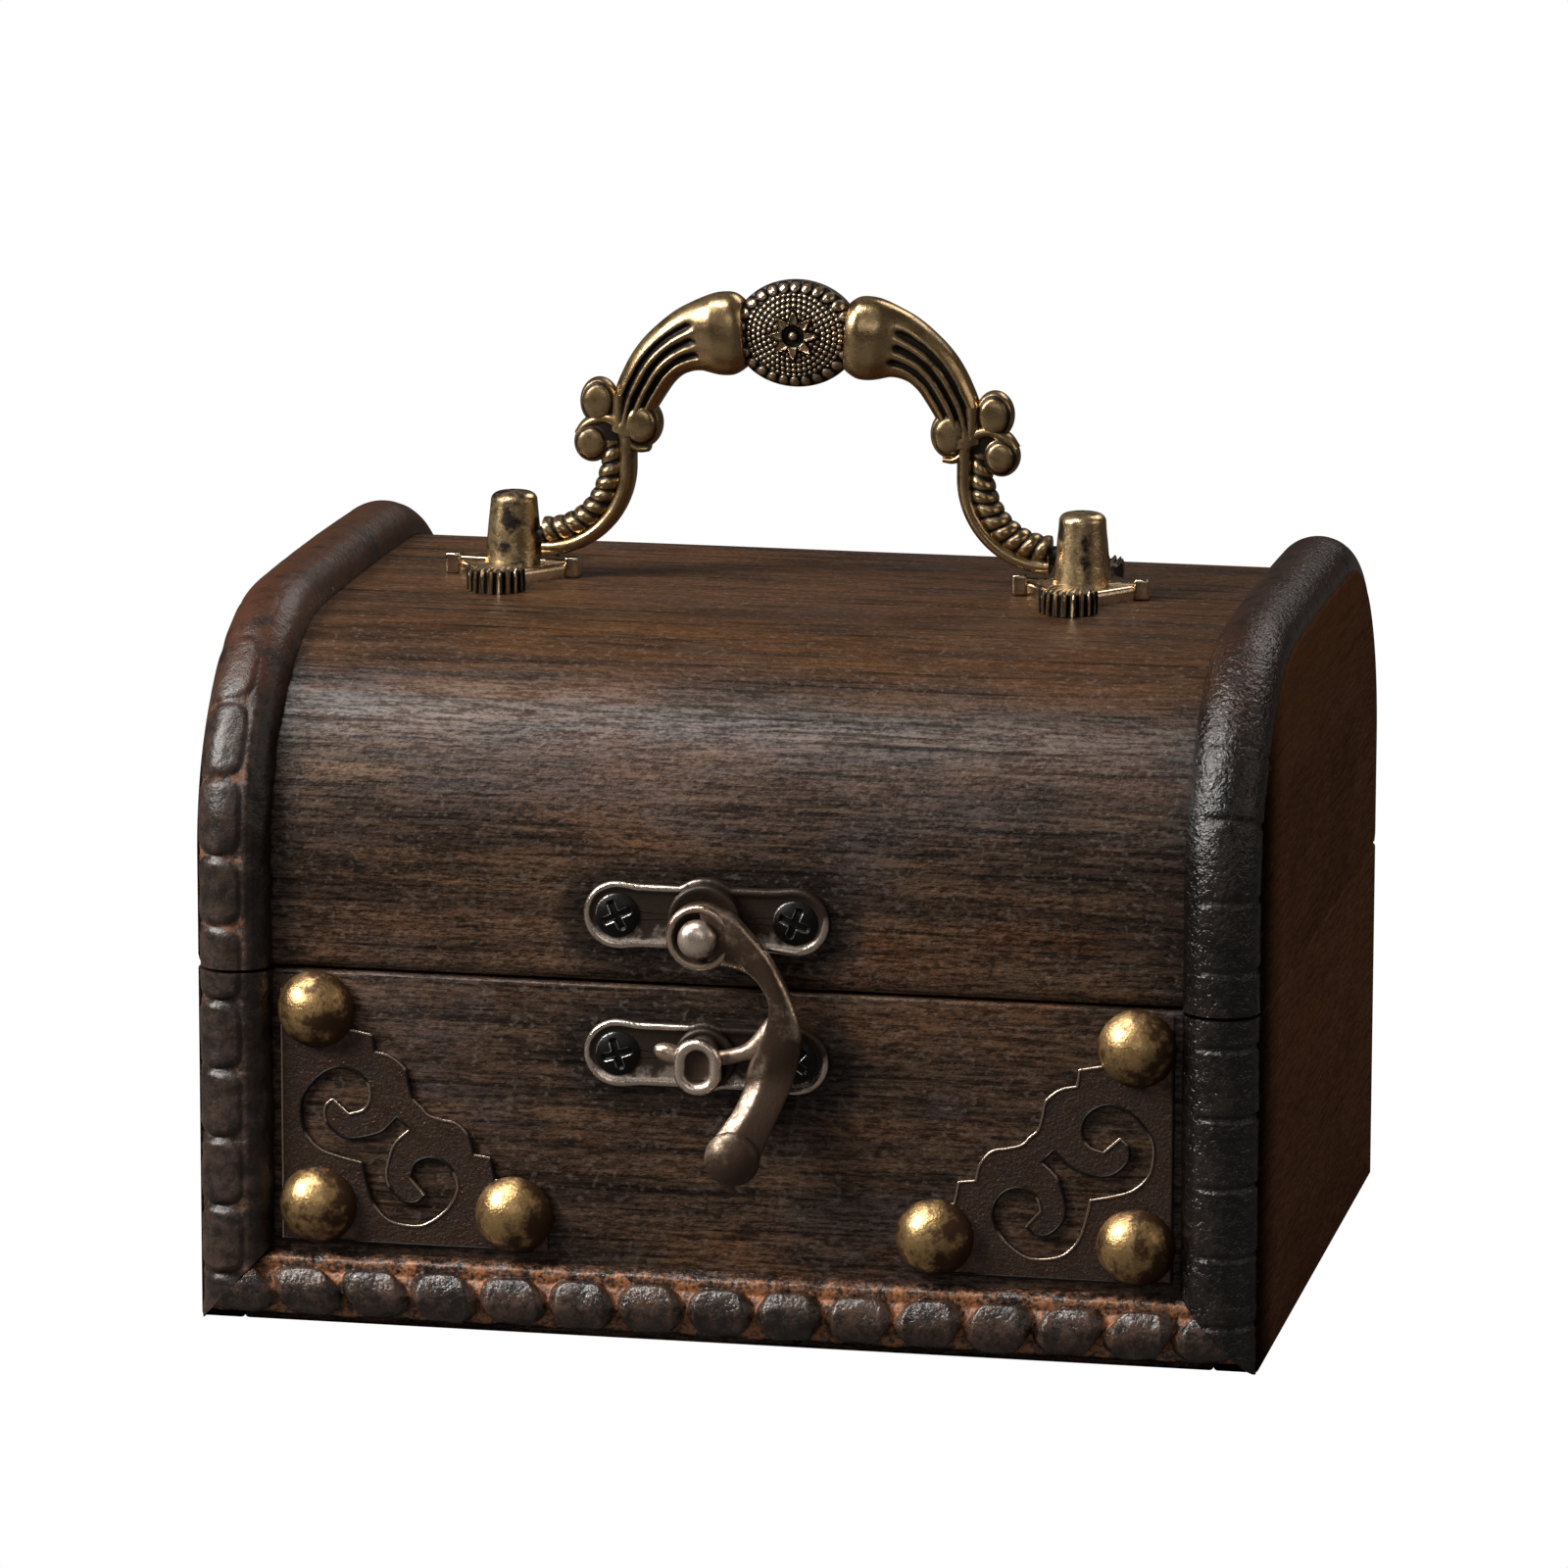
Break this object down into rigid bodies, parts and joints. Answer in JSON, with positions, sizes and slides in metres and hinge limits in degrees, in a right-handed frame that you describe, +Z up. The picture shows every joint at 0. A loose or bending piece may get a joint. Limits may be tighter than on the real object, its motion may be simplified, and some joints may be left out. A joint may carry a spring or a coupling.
{
  "type": "treasure chest box",
  "caption": "Small dark wooden treasure chest box with a domed hinged lid, beaded mouldings, pierced corner plates, a swing-hook latch and a cast bail handle on top.",
  "frame": {"origin": "middle of the underside, on the surface it stands on", "axes": "+X along the front to the right, +Y from front to back, +Z up"},
  "size_m": [0.12, 0.1032, 0.1127],
  "materials": {
    "walnut_wood": "dark walnut stain, satin",
    "moulding_wood": "near-black stain, rubbed beads",
    "corner_bronze": "dark antique bronze sheet",
    "nail_brass": "worn antique brass",
    "latch_copper": "antique copper-bronze, bright on edges",
    "handle_brass": "antique brass, dark in hollows",
    "hinge_brass": "antique brass",
    "screw_black": "blackened steel",
    "pin_steel": "plain steel"
  },
  "bodies": {
    "box": {"base_panel": "walnut_wood", "front_panel": "walnut_wood", "back_panel": "walnut_wood", "left_end_panel": "walnut_wood", "right_end_panel": "walnut_wood", "foot_moulding": "moulding_wood", "left_corner_moulding": "moulding_wood", "right_corner_moulding": "moulding_wood", "left_corner_plate": "corner_bronze", "right_corner_plate": "corner_bronze", "left_dome_nails": "nail_brass", "right_dome_nails": "nail_brass", "keeper_plate": "latch_copper", "keeper_post": "latch_copper", "keeper_screws": "screw_black", "left_hinge_lower_leaf": "hinge_brass", "right_hinge_lower_leaf": "hinge_brass", "hinge_pins": "pin_steel", "lower_hinge_screws": "hinge_brass"},
    "lid": {"lid_skin": "walnut_wood", "left_lid_end": "walnut_wood", "right_lid_end": "walnut_wood", "left_lid_moulding": "moulding_wood", "right_lid_moulding": "moulding_wood", "latch_plate": "latch_copper", "latch_rivet": "latch_copper", "latch_screws": "screw_black", "left_handle_post": "handle_brass", "right_handle_post": "handle_brass", "left_handle_rosette": "handle_brass", "right_handle_rosette": "handle_brass", "handle_screws": "screw_black", "left_hinge_upper_leaf": "hinge_brass", "right_hinge_upper_leaf": "hinge_brass", "upper_hinge_screws": "hinge_brass"},
    "hook": {"latch_hook": "latch_copper"},
    "handle": {"handle_bail": "handle_brass"}
  },
  "joints": [
    {"name": "lid_hinge", "type": "hinge", "parent": "box", "child": "lid", "pos_m": [0, 0.0465, 0.0407], "axis": [-1, 0, 0], "range_deg": [0, 105]},
    {"name": "hook_swing", "type": "hinge", "parent": "lid", "child": "hook", "pos_m": [-0.0019, -0.0475, 0.0473], "axis": [0, -1, 0], "range_deg": [0, 115]},
    {"name": "handle_swing", "type": "hinge", "parent": "lid", "child": "handle", "pos_m": [-0.0009, 0, 0.082], "axis": [1, 0, 0], "range_deg": [-90, 90]}
  ]
}
